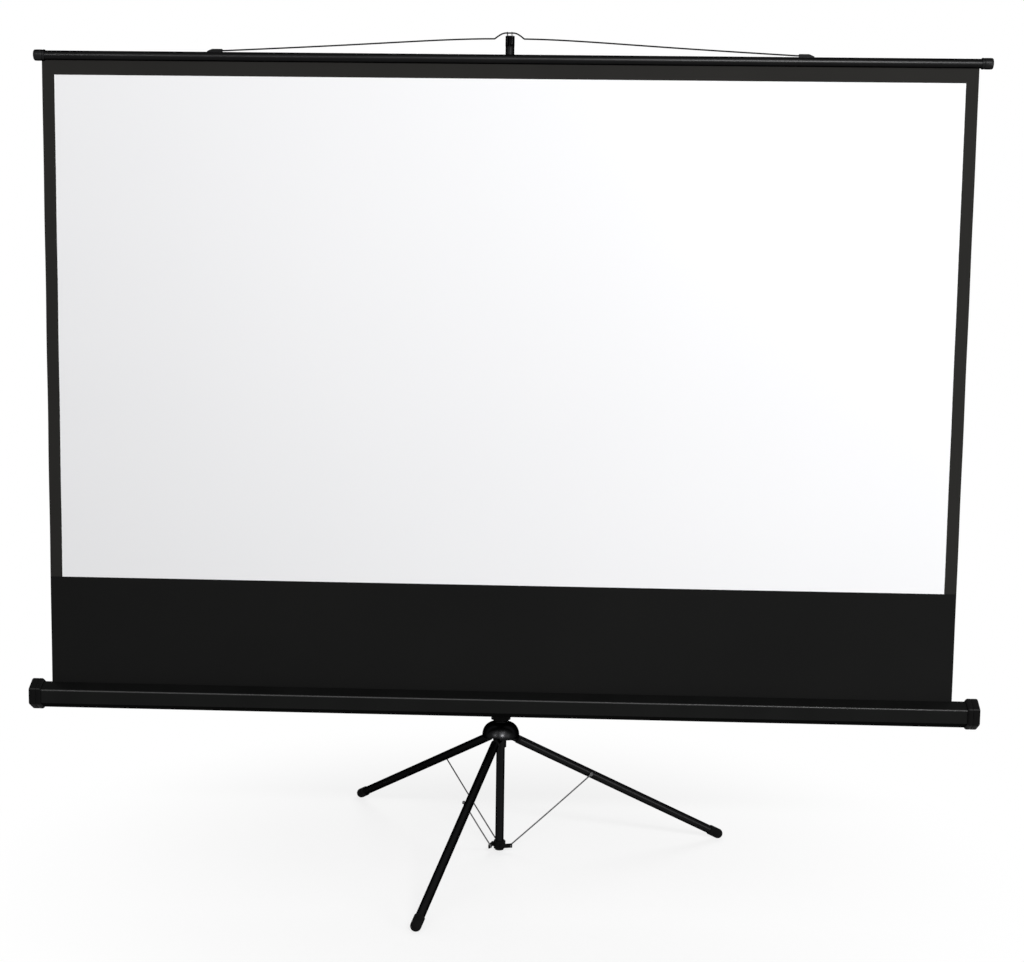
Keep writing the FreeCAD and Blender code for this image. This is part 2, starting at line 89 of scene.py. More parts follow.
# Cap profile as (distance from its mouth, inset)
cap_mouth = [(14, 4.3), (0, 4.3), (0, 2.6), (0.5, 2.0), (3.2, 0.3), (4.2, 0)]
cap_groove = [(11.6, 0), (11.9, 0.2), (12.1, 0.9), (13.1, 0.9), (13.3, 0.2), (13.6, 0)]
cap_shoulder = [(25.8, 0), (27.6, 0.3), (29.1, 1.1), (30.2, 2.4), (30.8, 3.8), (31, 5.2)]
cap_panel = [(31, 12), (30.4, 12.8), (30.4, 20), (30.4, 30.4)]

# Rail and its caps
rail_gap = 1.6
rail_wall = 2.0
rail_cap_radius = 13.7

# Rail cap profile as (distance from its mouth, radius), and (distance from its end, radius)
rail_cap_skirt = [(4, 11.55), (0, 11.55), (0, 12.9), (0.5, 13.4), (1.2, 13.7), (4.2, 13.7)]
rail_cap_groove = [(4.7, 13.3), (5, 12.5), (6, 12.5), (6.3, 13), (7, 13.4), (12, 13.6)]
rail_cap_end = [(8, 13.6), (3, 13.4), (1.4, 12.9), (0.4, 11.9), (0, 10.6), (0, 6), (0.6, 5), (0.6, 0)]

# Bail
wire_radius = 1.5
wire_drawn_radius = 1.85
hump_flat = 8.5
hump_foot = 36.0
shoulder_share = 0.707
arm_bow = 41.0
arm_short_of_clip = 5.0
arm_bend_half = 10.0
arm_bend_share = 0.008

# Legs, feet and stays; a foot's profile is (distance along the leg, radius)
leg_tilt = math.radians(27.1)
foot_radius = 13.0
foot_flat = 5.0
foot_cup = [(-24, 11.1), (-27, 11.1), (-27, 12.1), (-26.6, 12.6), (-25.8, 13), (-20, 13)]
foot_groove_places = (-16.5, -12.0, -7.5)
foot_groove = [(-1.2, 13), (-0.8, 12.4), (0.8, 12.4), (1.2, 13)]
stay_radius = 1.9
stay_bow = 0.8
eye_radius = 3.3
eye_wire_radius = 1.35

# Rivets
rivet_flank = 0.3
plate_rivet_radius = 3.4
plate_rivet_height = 1.3
plate_rivet_in = 12.0
plate_rivet_up = 7.0
clip_rivet_radius = 1.5
clip_rivet_height = 0.7
clip_rivet_in = 8.0
clip_rivet_up = 9.6

# Widths of the soft edges on solids that stay in view
soft_edge = {
    "mast_hook": 0.4,
    "bail_clip_left": 0.6,
    "bail_clip_right": 0.6,
    "column_collar": 1.2,
    "mid_collar": 1.2,
    "mid_lock_knob": 0.9,
    "mast_lock_knob": 0.9,
    "slider_lock_knob": 0.9,
    "slider_sleeve": 1.5,
    "hub_spider": 0.6,
    "hub_dome": 0.6,
    "brace_collar": 0.8,
    "case_mount_plate": 0.8,
    "rod_plug": 0.6,
}
soft_edge_weld = 0.01
soft_edge_angle = math.radians(40)

# Camera fitted to the photograph, its reach and place in metres
camera_lens = 59.445
camera_sensor = 36.0
camera_reach = 300.0
camera_place = (0.16961, -4.17069, 1.44319)
camera_turn = (
    (0.999225, -0.017882, 0.035074),
    (0.03686, 0.111999, -0.993024),
    (0.013829, 0.993547, 0.112572),
)

# Floor and surroundings: sizes in metres, the rest as tones, shares and strengths of light
floor_half = 60.0
floor_tone = 0.93
shadow_near = 0.3
shadow_far = 1.4
white_near_share = 0.74
floor_glow_share = 0.5
sky_light = 0.18

# Finishes: bump depth, detail of the fine and the slow noise, scale of the slow one and the span it uses
grain_depth = 0.4
grain_detail = 3.0
patch_scale = 7.0
patch_detail = 5.0
patch_low = 0.3
patch_high = 0.7

# Darker and paler tones that each zone of the sheet's front varies between
border_tones = ((0.0165, 0.0161, 0.0153), (0.0245, 0.0238, 0.0222))
drop_tones = ((0.0066, 0.0067, 0.0067), (0.0106, 0.0106, 0.0103))
white_tones = ((0.836, 0.838, 0.852), (0.856, 0.856, 0.866))


def corners_of(node):
    """Lowest and highest corner of a solid's box as arrays, in metres."""
    low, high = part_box(node)
    return np.array(low, float), np.array(high, float)


def middle_of(node):
    """Centre of a solid's box."""
    low, high = corners_of(node)
    return (low + high) / 2


def join(tree, *pairs):
    """Links pairs of sockets in a node tree."""
    for source, target in pairs:
        tree.links.new(source, target)


def noise_node(tree, place, scale, detail):
    """Noise on the piece's own coordinates."""
    node = tree.nodes.new("ShaderNodeTexNoise")
    node.inputs["Scale"].default_value = scale
    node.inputs["Detail"].default_value = detail
    tree.links.new(place.outputs["Object"], node.inputs["Vector"])
    return node.outputs["Fac"]


def bump_node(tree, height, strength, depth):
    """Bump of a depth in millimetres from a height."""
    node = tree.nodes.new("ShaderNodeBump")
    node.inputs["Strength"].default_value = strength
    node.inputs["Distance"].default_value = depth * MM
    tree.links.new(height, node.inputs["Height"])
    return node.outputs["Normal"]


def mix_node(tree, factor, first, second):
    """Colour between two, each a tone or another node's colour."""
    node = tree.nodes.new("ShaderNodeMix")
    node.data_type = "RGBA"
    tree.links.new(factor, node.inputs["Factor"])
    for key, value in (("A", first), ("B", second)):
        if isinstance(value, tuple):
            node.inputs[key].default_value = (*value, 1)
        else:
            tree.links.new(value, node.inputs[key])
    return node.outputs["Result"]


def new_material(name, rough, specular):
    """Material with its tree and its shader, at a stated roughness and specular level."""
    material = bpy.data.materials.new(name)
    material.use_nodes = True
    tree = material.node_tree
    shader = tree.nodes["Principled BSDF"]
    shader.inputs["Roughness"].default_value = rough
    shader.inputs["Specular IOR Level"].default_value = specular
    return material, tree, shader


def finish(
    name, colour, rough, specular, grain, patchy,
    metal=0.0, grain_scale=900.0, rub=0.0, edge=1.0, highlight_tone=None,
):
    """Painted, moulded or metal finish: fine bump from one noise, patchy gloss from a slower one.

    A highlight tone, a painted highlight, shows where the piece's own highlight attribute is one.
    A worn colour shows where the piece's own wear attribute is one."""
    material, tree, shader = new_material(name, rough, specular)
    shader.inputs["Base Color"].default_value = (*colour, 1)
    shader.inputs["Metallic"].default_value = metal
    shader.inputs["Specular Tint"].default_value = (edge, edge, edge, 1)
    place = tree.nodes.new("ShaderNodeTexCoord")
    speck = noise_node(tree, place, grain_scale, grain_detail)
    join(tree, (bump_node(tree, speck, grain, grain_depth), shader.inputs["Normal"]))
    cloud = noise_node(tree, place, patch_scale, patch_detail)
    gloss = tree.nodes.new("ShaderNodeMapRange")
    gloss.inputs["From Min"].default_value = patch_low
    gloss.inputs["From Max"].default_value = patch_high
    gloss.inputs["To Min"].default_value = rough - patchy
    gloss.inputs["To Max"].default_value = rough + patchy
    join(tree, (cloud, gloss.inputs["Value"]), (gloss.outputs["Result"], shader.inputs["Roughness"]))
    if rub:
        tone = mix_node(tree, cloud, colour, tuple(c * (1 + rub) for c in colour))
        # painted highlight: a paler tone where the highlight attribute is one, in place of the lamps' reflection
        if highlight_tone:
            painted_highlight = tree.nodes.new("ShaderNodeAttribute")
            painted_highlight.attribute_name = "painted_highlight"
            tone = mix_node(tree, painted_highlight.outputs["Fac"], tone, highlight_tone)
        join(tree, (tone, shader.inputs["Base Color"]))
    return material


# Finishes: black lacquer keeps its edges dark, the moulding is shared by two finishes, one with a painted ridge
# highlight
lacquer = dict(specular=0.5, metal=1.0, edge=0.05)
moulding = dict(
    colour=(0.0048, 0.0048, 0.0048), rough=0.55, specular=0.012,
    grain=0.14, grain_scale=1800, patchy=0.07, rub=0.6,
)
tube_paint = finish("tube_paint", (0.0075, 0.0075, 0.0077), 0.34, grain=0.05, patchy=0.06, rub=0.6, **lacquer)
# case_coat's highlight tone is a painted highlight on the case's upper ridges
case_coat = finish(
    "case_coat", (0.0080, 0.0082, 0.0080), 0.32, 0.0, metal=0.5, grain=0.06, grain_scale=1400,
    patchy=0.05, rub=0.5, edge=0.05, highlight_tone=(0.05, 0.05, 0.05),
)
rail_coat = finish("rail_coat", (0.0072, 0.0072, 0.0073), 0.34, grain=0.02, patchy=0.02, rub=0.5, **lacquer)
bare_alloy = finish("bare_alloy", (0.60, 0.60, 0.61), 0.34, 0.5, metal=1.0, grain=0.05, patchy=0.06)
moulded_black = finish("moulded_black", **moulding)
# cap_moulding is the moulding with a painted highlight on the caps' upper ridges
cap_moulding = finish("cap_moulding", highlight_tone=(0.032, 0.032, 0.032), **moulding)
grip_black = finish(
    "grip_black", (0.0120, 0.0120, 0.0122), 0.36, grain=0.12, grain_scale=700, patchy=0.06, rub=0.5, **lacquer
)
dome_black = finish("dome_black", (0.0065, 0.0065, 0.0068), 0.31, grain=0.01, patchy=0.02, rub=0.4, **lacquer)
foot_rubber = finish(
    "foot_rubber", (0.0046, 0.0046, 0.0046), 0.66, 0.015, grain=0.25, grain_scale=1500, patchy=0.08, rub=0.8
)
bright_wire = finish(
    "bright_wire", (0.090, 0.090, 0.092), 0.32, 0.5, metal=1.0, grain=0.05, patchy=0.08, rub=0.3
)
bail_steel = finish("bail_steel", (0.0055, 0.0055, 0.0057), 0.36, grain=0.03, patchy=0.06, rub=0.5, **lacquer)
black_cloth = finish(
    "black_cloth", (0.020, 0.020, 0.020), 0.90, 0.04, grain=0.35, grain_scale=2200, patchy=0.05, rub=0.6
)
finish_of_slot = {
    "black_paint": tube_paint,
    "black_aluminium": case_coat,
    "plain_aluminium": bare_alloy,
    "black_plastic": moulded_black,
    "gloss_black": dome_black,
    "rubber": foot_rubber,
    "steel": bright_wire,
    "dark_steel": bail_steel,
    "black_cloth": black_cloth,
}


def sheet_front(u0, u1, v0, v1):
    """Front of the sheet: white inside the UV rectangle u0..u1, v0..v1, black cloth round it.

    The drop below v0 is darker than the border, and a fine weave lies over all of it."""
    material, tree, shader = new_material("sheet_front", 0.9, 0.04)
    flat = tree.nodes.new("ShaderNodeUVMap")
    flat.uv_map = "sheet"
    split = tree.nodes.new("ShaderNodeSeparateXYZ")
    place = tree.nodes.new("ShaderNodeTexCoord")
    join(tree, (flat.outputs["UV"], split.inputs["Vector"]))

    def math_node(operation, first, second):
        """One sum or comparison of a socket with a number or another socket."""
        node = tree.nodes.new("ShaderNodeMath")
        node.operation = operation
        tree.links.new(first, node.inputs[0])
        if isinstance(second, float):
            node.inputs[1].default_value = second
        else:
            tree.links.new(second, node.inputs[1])
        return node.outputs[0]

    def between(value, low, high):
        """One where low < value < high, nought elsewhere."""
        above, below = math_node("GREATER_THAN", value, low), math_node("LESS_THAN", value, high)
        return math_node("MULTIPLY", above, below)

    across, up = split.outputs["X"], split.outputs["Y"]
    inside = math_node("MULTIPLY", between(across, u0, u1), between(up, v0, v1))
    border = mix_node(tree, noise_node(tree, place, 3.0, 4.0), *border_tones)
    drop = mix_node(tree, noise_node(tree, place, 2.0, 4.0), *drop_tones)
    dark = mix_node(tree, math_node("LESS_THAN", up, v0), border, drop)
    white = mix_node(tree, noise_node(tree, place, 1.4, 2.0), *white_tones)
    weave = bump_node(tree, noise_node(tree, place, 1300.0, 2.0), 0.12, 0.3)
    join(tree, (mix_node(tree, inside, dark, white), shader.inputs["Base Color"]))
    join(tree, (weave, shader.inputs["Normal"]))
    return material


def grid_faces(rows, columns, wrap_rows=False, wrap_columns=True):
    """Quads between neighbouring points of a grid; wrap joins the last line to the first."""
    down = np.arange(rows if wrap_rows else rows - 1)
    along = np.arange(columns if wrap_columns else columns - 1)
    i, j = np.meshgrid(down, along, indexing="ij")
    a, b = (i + 1) % rows, (j + 1) % columns
    return np.stack([i * columns + j, a * columns + j, a * columns + b, i * columns + b], -1).reshape(-1, 4)


def smooth(mesh, crisp=35.0):
    """Smooth shading, with edges sharper than crisp degrees kept."""
    mesh.polygons.foreach_set("use_smooth", np.ones(len(mesh.polygons), bool))
    mesh.set_sharp_from_angle(angle=math.radians(crisp))


def skin(name, points, body, material, wrap_rows=False, closed_ends=False):
    """Mesh over a grid of points, rows along the piece and columns round it.

    It is welded at its poles, and its faces point outwards."""
    rows, columns = points.shape[:2]
    faces = grid_faces(rows, columns, wrap_rows).tolist()
    if closed_ends:
        faces += [list(range(columns)), list(range((rows - 1) * columns, rows * columns))]
    mesh = bpy.data.meshes.new(name)
    mesh.from_pydata(points.reshape(-1, 3).tolist(), [], faces)
    work = bmesh.new()
    work.from_mesh(mesh)
    bmesh.ops.remove_doubles(work, verts=work.verts, dist=1e-6)
    bmesh.ops.dissolve_degenerate(work, dist=1e-7, edges=work.edges)
    bmesh.ops.recalc_face_normals(work, faces=work.faces)
    work.to_mesh(mesh)
    work.free()
    smooth(mesh)
    mesh.materials.append(material)
    piece = bpy.data.objects.new(name, mesh)
    scene.collection.objects.link(piece)
    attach(piece, body)
    return piece


def points_of(piece):
    """Places of a piece's points as an array."""
    place = np.zeros((len(piece.data.vertices), 3), np.float32)
    piece.data.vertices.foreach_get("co", place.ravel())
    return place


def square_to(axis):
    """Unit axis and two unit vectors square to it."""
    a = np.array(axis, float)
    a /= np.linalg.norm(a)
    side = np.cross((0, 0, 1.0) if abs(a[2]) < 0.9 else (1.0, 0, 0), a)
    side /= np.linalg.norm(side)
    return a, side, np.cross(a, side)


def turned(name, profile, origin, axis, body, material, around):
    """Turned piece: origin + h(s) axis + r(s) (cos t, sin t), for (h, r) pairs in millimetres."""
    a, n, b = square_to(axis)
    t = np.linspace(0, 2 * math.pi, around, endpoint=False)
    h, r = np.array(profile, float).T * MM
    ring = np.cos(t)[:, None] * n + np.sin(t)[:, None] * b
    points = np.array(origin, float) + h[:, None, None] * a + r[:, None, None] * ring
    return skin(name, points, body, material)


def drawn(name, path, normal, radius, body, material, around=12, loop=False):
    """Round wire along a flat path: C(s) + r (cos t N(s) + sin t B).

    B is square to the path's plane, and N = T x B."""
    path = np.array(path, float)
    along = np.roll(path, -1, 0) - np.roll(path, 1, 0) if loop else np.gradient(path, axis=0)
    along /= np.linalg.norm(along, axis=1)[:, None]
    b = np.array(normal, float) / np.linalg.norm(normal)
    n = np.cross(along, b)
    n /= np.linalg.norm(n, axis=1)[:, None]
    t = np.linspace(0, 2 * math.pi, around, endpoint=False)
    ring = np.cos(t)[None, :, None] * n[:, None] + np.sin(t)[None, :, None] * b
    points = path[:, None] + radius * MM * ring
    return skin(name, points, body, material, wrap_rows=loop, closed_ends=not loop)


def rounded(corners, radius, steps=6, closed=True):
    """Polygon with each corner turned into an arc between its two tangent points.

    An open one keeps its two ends."""
    p = np.array(corners, float)
    a, b = np.roll(p, 1, 0) - p, np.roll(p, -1, 0) - p
    a /= np.linalg.norm(a, axis=1)[:, None]
    b /= np.linalg.norm(b, axis=1)[:, None]
    half = np.arccos(np.clip((a * b).sum(1), -1, 1)) / 2
    inward = (a + b) / np.linalg.norm(a + b, axis=1)[:, None]
    centre = p + inward * (radius / np.sin(half))[:, None]
    run = (radius / np.tan(half))[:, None]
    start, stop = p + a * run - centre, p + b * run - centre
    bend = (math.pi - 2 * half)[:, None, None]
    f = np.linspace(0, 1, steps + 1)[None, :, None]
    swing = np.sin((1 - f) * bend) * start[:, None] + np.sin(f * bend) * stop[:, None]
    arcs = centre[:, None] + swing / np.sin(bend)
    if closed:
        return arcs.reshape(-1, 2)
    return np.concatenate([p[:1], arcs[1:-1].reshape(-1, 2), p[-1:]])


def hexagon(radius):
    """Corners of a hexagon with one corner up, as (y, z), from the top towards the back."""
    a = np.arange(6) * math.pi / 3
    return np.stack([np.sin(a), np.cos(a)], -1) * radius


def prism(outline, stations, y, z):
    """Outline of (y, z) points carried to each x station."""
    shape = (len(stations), len(outline))
    x = np.broadcast_to(np.array(stations)[:, None], shape)
    across = np.broadcast_to(outline[:, 0] + y, shape)
    up = np.broadcast_to(outline[:, 1] + z, shape)
    return np.stack([x, across, up], -1)


def rivet(name, place, axis, radius, height, body):
    """Low round head: h = H cos s, r = R sin s, on a short straight edge."""
    s = np.linspace(math.pi / 2, 0, 7)
    profile = [(-rivet_flank, radius)] + list(zip(height * np.cos(s), radius * np.sin(s)))
    turned(name, profile, place, axis, body, bail_steel, 20)


# Places read from the solids
sheet_low, sheet_high = corners_of("screen_sheet")
white_low, white_high = corners_of("viewing_surface")
case_low, case_high = corners_of("case_shell")
rail_low, rail_high = corners_of("top_rail")
rail_y, rail_z = middle_of("top_rail")[1:]
rail_radius = (rail_high[1] - rail_low[1]) / 2
case_y = (case_low[1] + case_high[1]) / 2
case_side = (case_high[1] - case_low[1]) / 2 / COS30
case_z = case_low[2] + case_side
sheet_y = white_high[1]
slot_z = case_z + case_side
sheet_top = rail_z - hem_share * rail_radius
sheet_foot = slot_z - sheet_in_slot * MM


def hang_sheet():
    """Stretched sheet (x0 + W u, y + w(u, v), z0 + H v).

    w is a shallow ripple, stronger at the free sides, that dies at the rail and at the slot."""
    columns, rows = 150, 120
    u, v = np.meshgrid(np.linspace(0, 1, columns), np.linspace(0, 1, rows), indexing="ij")
    width, height = sheet_high[0] - sheet_low[0], sheet_top - sheet_foot
    side = np.exp(-u / side_reach_share) + np.exp(-(1 - u) / side_reach_share)
    quick = np.sin(2 * math.pi * (side_waves_up * v + side_waves_across * u))
    slow = np.sin(2 * math.pi * (slow_waves_across * u + slow_waves_up * v))
    ripple = side_ripple * quick * side + slow_ripple * slow
    y = sheet_y + ripple * MM * np.sin(math.pi * v) ** ripple_calm
    half = sheet_half * MM
    x, z = sheet_low[0] + width * u, sheet_foot + height * v
    front_points = np.stack([x, y - half, z], -1).reshape(-1, 3)
    back_points = np.stack([x, y + half, z], -1).reshape(-1, 3)
    points = np.concatenate([front_points, back_points])
    count = columns * rows
    front = grid_faces(columns, rows, wrap_columns=False)
    index = np.arange(count).reshape(columns, rows)
    edge = np.concatenate([index[:, 0], index[-1, 1:], index[-2::-1, -1], index[0, -2:0:-1]])
    after = np.roll(edge, -1)
    rim = np.stack([after, edge, edge + count, after + count], -1)
    mesh = bpy.data.meshes.new("sheet")
    mesh.from_pydata(points.tolist(), [], np.concatenate([front, front[:, ::-1] + count, rim]).tolist())
    flat = np.tile(np.stack([u, v], -1).reshape(-1, 2), (2, 1))
    corner = np.zeros(len(mesh.loops), np.int32)
    mesh.loops.foreach_get("vertex_index", corner)
    mesh.uv_layers.new(name="sheet").data.foreach_set("uv", flat[corner].astype(np.float32).ravel())
    u0, u1 = (white_low[0] - sheet_low[0]) / width, (white_high[0] - sheet_low[0]) / width
    v0, v1 = (white_low[2] - sheet_foot) / height, (white_high[2] - sheet_foot) / height
    mesh.materials.append(sheet_front(float(u0), float(u1), float(v0), float(v1)))
    mesh.materials.append(black_cloth)
    layer = np.ones(len(mesh.polygons), np.int32)
    layer[: len(front)] = 0
    mesh.polygons.foreach_set("material_index", layer)
    smooth(mesh, 60.0)
    piece = bpy.data.objects.new("sheet", mesh)
    scene.collection.objects.link(piece)
    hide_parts("screen_sheet", "viewing_surface")
    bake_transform(piece)


def paint_ridge_highlights(piece, size, middle_z):
    """Painted-highlight attribute clip(F - d / reach): a paler band standing in for the lamps' reflection on the
    ridges.

    d is the distance from the two upper ridges of a hexagon of this size about the case's line."""
    place = points_of(piece)
    off = np.hypot(np.abs(place[:, 1] - case_y) - COS30 * size, place[:, 2] - middle_z - 0.5 * size)
    reach = highlight_reach_share * case_edge_round * MM
    painted_highlight = piece.data.attributes.new("painted_highlight", "FLOAT", "POINT")
    painted_highlight.data.foreach_set("value", np.clip(highlight_full - off / reach, 0, 1).astype(np.float32))


def draw_case():
    """Six-sided tube (x, Q(s)) with a painted highlight on its two upper ridges.

    Q runs round the rounded hexagon from one lip of the top slot to the other, then back inside the wall."""
    lip, wall = case_lip_gap * MM, case_wall * MM
    inner_side = case_side - wall / COS30
    fall = lip * math.tan(math.pi / 6)
    order = [5, 4, 3, 2, 1]
    outer_corners = hexagon(case_side)[order]
    inner_corners = hexagon(inner_side)[order[::-1]]
    out = np.concatenate([[(-lip, case_side - fall)], outer_corners, [(lip, case_side - fall)]])
    back = np.concatenate([[(lip, inner_side - fall)], inner_corners, [(-lip, inner_side - fall)]])
    outside = rounded(out, case_edge_round * MM, 6, closed=False)
    inside = rounded(back, (case_edge_round - case_wall) * MM, 4, closed=False)
    outline = np.concatenate([outside, inside])
    step = np.roll(outline, -1, 0) - outline
    length = np.maximum(np.linalg.norm(step, axis=1), 1e-9)
    near = np.minimum(case_edge_band * MM / length, band_most_share)[:, None]
    outline = np.stack([outline, outline + step * near, outline + step * (1 - near)], 1).reshape(-1, 2)
    stations = np.linspace(case_low[0], case_high[0], 9)
    piece = skin("case_tube", prism(outline, stations, case_y, case_z), "case", case_coat)
    # painted highlight along the two upper ridges
    paint_ridge_highlights(piece, case_side, case_z)
    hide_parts("case_shell")


def mould_cap(side_name, side):
    """End cap: rounded hexagons of size R - inset(s) at x(s).

    It has a chamfered rim, a parting groove and a rounded end with a shallow panel."""
    low, high = corners_of("end_cap_" + side_name)
    start = high[0] - cap_length * MM if side > 0 else low[0] + cap_length * MM
    radius, middle = (high[2] - low[2]) / 2, (high[2] + low[2]) / 2
    rings = []
    for place, inset in np.array(cap_mouth + cap_groove + cap_shoulder + cap_panel, float):
        size = radius - inset * MM / COS30
        outline = rounded(hexagon(size), min(cap_edge_round * MM, cap_round_most_share * size))
        rings.append(prism(outline, [start + side * place * MM], case_y, middle)[0])
    name = "case_cap_" + side_name
    piece = skin(name, np.array(rings), "case", cap_moulding, closed_ends=True)
    # painted highlight along the cap's two upper ridges, continuing the case's
    paint_ridge_highlights(piece, radius, middle)
    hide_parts("end_cap_" + side_name)


def draw_rail():
    """Round tube (x, R cos t, R sin t) with a slot below for the sheet."""
    gap = math.asin(rail_gap * MM / rail_radius)
    t = np.linspace(-math.pi / 2 + gap, 1.5 * math.pi - gap, 72)
    ring = np.stack([np.cos(t), np.sin(t)], -1)
    outline = np.concatenate([ring * rail_radius, ring[::-1] * (rail_radius - rail_wall * MM)])
    stations = np.linspace(rail_low[0], rail_high[0], 9)
    piece = skin("rail_tube", prism(outline, stations, rail_y, rail_z), "rail", rail_coat)
    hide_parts("top_rail")


def mould_rail_cap(side_name, side):
    """Turned rail cap: skirt ring, groove, slightly barrelled grip and a chamfered end."""
    low, high = corners_of("rail_cap_" + side_name)
    start = (low[0] if side > 0 else high[0], rail_y, rail_z)
    length = (high[0] - low[0]) / MM
    size = (high[2] - low[2]) / 2 / MM / rail_cap_radius
    rows = rail_cap_skirt + rail_cap_groove + [(length - back, r) for back, r in rail_cap_end]
    profile = [(h, r * size) for h, r in rows]
    name = "rail_end_" + side_name
    piece = turned(name, profile, start, (side, 0, 0), "rail", grip_black, 64)
    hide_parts("rail_cap_" + side_name)


def bend_bail():
    """Wire in one leaning plane, at a height H h(x).

    h is a flat hump, shoulders falling as a cosine, then arms falling to the clips.
    The arms are bowed by B u (1 - u)^4."""
    low, high = corners_of("bail_wire")
    clip_start = corners_of("bail_clip_right")[0][0]
    pivot_z = low[2] + wire_radius * MM
    lean = np.array([high[1] - wire_radius * MM - rail_y, high[2] - wire_radius * MM - pivot_z])
    height = np.hypot(*lean)
    lean /= height
    inner, outer = hump_flat * MM, hump_foot * MM
    arm, end = clip_start - arm_short_of_clip * MM, high[0]
    before, beyond = arm - arm_bend_half * MM, arm + arm_bend_half * MM
    x = np.concatenate([
        np.linspace(0, inner, 4)[:-1],
        np.linspace(inner, outer, 24)[:-1],
        np.linspace(outer, before, 24)[:-1],
        np.linspace(before, beyond, 12)[:-1],
        np.linspace(beyond, end, 5),
    ])
    f = np.clip((x - inner) / (outer - inner), 0, 1)
    shoulder = shoulder_share + (1 - shoulder_share) * np.cos(math.pi / 2 * f)
    fall = (arm - x) / (arm - outer)
    bend = (fall + arm_bend_share) ** 2 / (4 * arm_bend_share)
    eased = np.where(fall > arm_bend_share, fall, np.where(fall < -arm_bend_share, 0.0, bend))
    u = np.clip((x - outer) / (arm - outer), 0, 1)
    bow = arm_bow * MM * u * (1 - u) ** 4
    h = height * np.where(x <= outer, shoulder, shoulder_share * np.minimum(eased, 1)) + bow
    half = np.stack([x, rail_y + h * lean[0], pivot_z + h * lean[1]], -1)
    path = np.concatenate([half[:0:-1] * (-1, 1, 1), half])
    across = (0, lean[1], -lean[0])
    piece = drawn("bail", path, across, wire_drawn_radius, "bail", bail_steel, 14)
    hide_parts("bail_wire")


def mould_foot(number):
    """Rubber foot turned about the leg's line: a cup, three grooves and a round end.

    Its underside is flattened on the floor."""
    hinge = joints["leg_%d_fold" % number]
    out = np.cross(hinge["axis"], (0, 0, 1.0))
    down = out * math.cos(leg_tilt) - np.array([0, 0, math.sin(leg_tilt)])
    pivot = np.array(hinge["pos_m"])
    tip_z = math.sqrt(foot_radius ** 2 - foot_flat ** 2) * MM
    centre = pivot + down * (pivot[2] - tip_z) / math.sin(leg_tilt)
    grooves = [(place + h, r) for place in foot_groove_places for h, r in foot_groove]
    s = np.linspace(0, math.pi / 2, 16)
    rows = foot_cup + grooves + list(zip(foot_radius * np.sin(s), foot_radius * np.cos(s)))
    piece = turned("foot_%d" % number, rows, centre, down, "leg_%d" % number, foot_rubber, 56)
    points = points_of(piece)
    points[:, 2] = np.maximum(points[:, 2], 0)
    piece.data.vertices.foreach_set("co", points.ravel())
    piece.data.update()
    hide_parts("leg_foot_%d" % number)


def bend_brace(number):
    """Wire stay: a slightly bowed run between two closed eyes.

    An eye is C(t) = c + r (cos t, sin t) in the plane beside the leg."""
    hinge = joints["brace_%d_swing" % number]
    body = "brace_%d" % number
    low = np.array(hinge["pos_m"])
    normal = np.array(hinge["axis"], float)
    run = middle_of("brace_rivet_%d" % number) - low
    run -= normal * np.dot(run, normal)
    length = np.linalg.norm(run)
    along = run / length
    side = np.cross(normal, along)
    s = np.linspace(eye_radius * MM, length - eye_radius * MM, 40)
    bow = stay_bow * MM * np.sin(math.pi * (s - s[0]) / (s[-1] - s[0]))
    path = low + s[:, None] * along + bow[:, None] * side
    piece = drawn("stay_%d" % number, path, normal, stay_radius, body, bright_wire)
    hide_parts("brace_%d" % number)
    t = np.linspace(0, 2 * math.pi, 28, endpoint=False)[:, None]
    for place, centre in (("low", low), ("high", low + run)):
        ring = centre + eye_radius * MM * (np.cos(t) * along + np.sin(t) * side)
        name = "stay_eye_%s_%d" % (place, number)
        drawn(name, ring, normal, eye_wire_radius, body, bright_wire, 10, loop=True)


def fit_rivets():
    """Rivets on the mount plate and the bail clips."""
    low, high = corners_of("case_mount_plate")
    for i, x in enumerate((low[0] + plate_rivet_in * MM, high[0] - plate_rivet_in * MM)):
        for j, z in enumerate((low[2] + plate_rivet_up * MM, high[2] - plate_rivet_up * MM)):
            name = "plate_rivet_%d_%d" % (i, j)
            rivet(name, (x, high[1], z), (0, 1, 0), plate_rivet_radius, plate_rivet_height, "case")
    clip_rivet_z = rail_z + clip_rivet_up * MM
    for side_name in ("left", "right"):
        low, high = corners_of("bail_clip_" + side_name)
        for i, x in enumerate((low[0] + clip_rivet_in * MM, high[0] - clip_rivet_in * MM)):
            name = "clip_rivet_%s_%d" % (side_name, i)
            rivet(name, (x, low[1], clip_rivet_z), (0, -1, 0), clip_rivet_radius, clip_rivet_height, "rail")


def dress_solids():
    """Solids that stay in view: each gets its slot's finish, and the listed ones a soft edge."""
    slots = {part["node"]: part["material_slot"] for part in frame["record"]["subparts"]}
    for name, solid in frame["nodes"].items():
        if solid.hide_render:
            continue
        solid.data.materials.clear()
        solid.data.materials.append(finish_of_slot[slots[name]])
        if name in soft_edge:
            weld = solid.modifiers.new("weld", "WELD")
            weld.merge_threshold = soft_edge_weld * MM
            bevel = solid.modifiers.new("soft_edge", "BEVEL")
            bevel.width = soft_edge[name] * MM
            bevel.segments = 2
            bevel.limit_method = "ANGLE"
            bevel.angle_limit = soft_edge_angle
            solid.modifiers.new("even_normals", "WEIGHTED_NORMAL")


